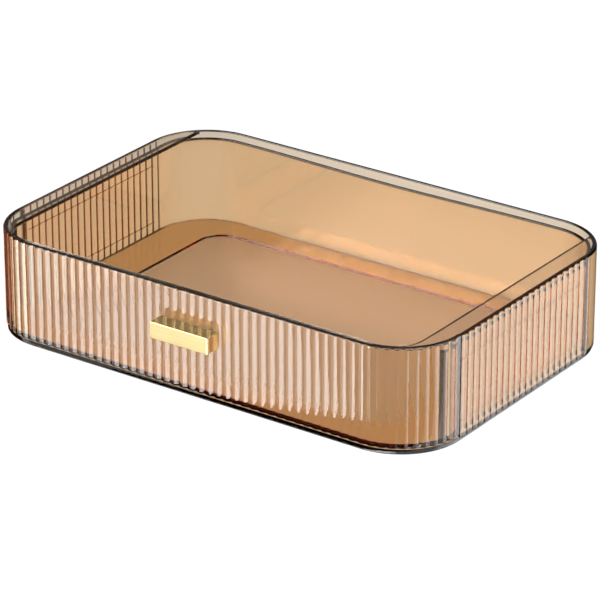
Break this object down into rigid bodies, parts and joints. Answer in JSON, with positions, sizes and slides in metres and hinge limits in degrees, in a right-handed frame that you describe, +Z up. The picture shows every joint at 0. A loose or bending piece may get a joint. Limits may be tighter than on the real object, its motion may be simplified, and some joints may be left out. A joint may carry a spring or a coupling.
{
  "type": "countertop organizer drawer",
  "caption": "Low amber clear-plastic organizer: fluted open-top casing with rounded corners and a pull-out fluted drawer with a small gold bar handle.",
  "frame": {"origin": "middle of the bounding box in plan, on the surface the organizer stands on", "axes": "+X along the width, +Y from the drawer front to the back wall, +Z up"},
  "size_m": [0.27, 0.1924, 0.0557],
  "materials": {
    "amber_plastic": "clear amber, polished",
    "gold_metal": "polished, pale gold",
    "screw_metal": "satin, pale gold"
  },
  "bodies": {
    "casing": {"casing_base": "amber_plastic", "casing_wall": "amber_plastic", "top_frame": "amber_plastic"},
    "drawer": {"drawer_tray": "amber_plastic", "drawer_front": "amber_plastic", "handle_bar": "gold_metal", "handle_screws": "screw_metal"}
  },
  "joints": [
    {"name": "drawer_slide", "type": "slide", "parent": "casing", "child": "drawer", "axis": [0, -1, 0], "range_m": [0, 0.14]}
  ]
}
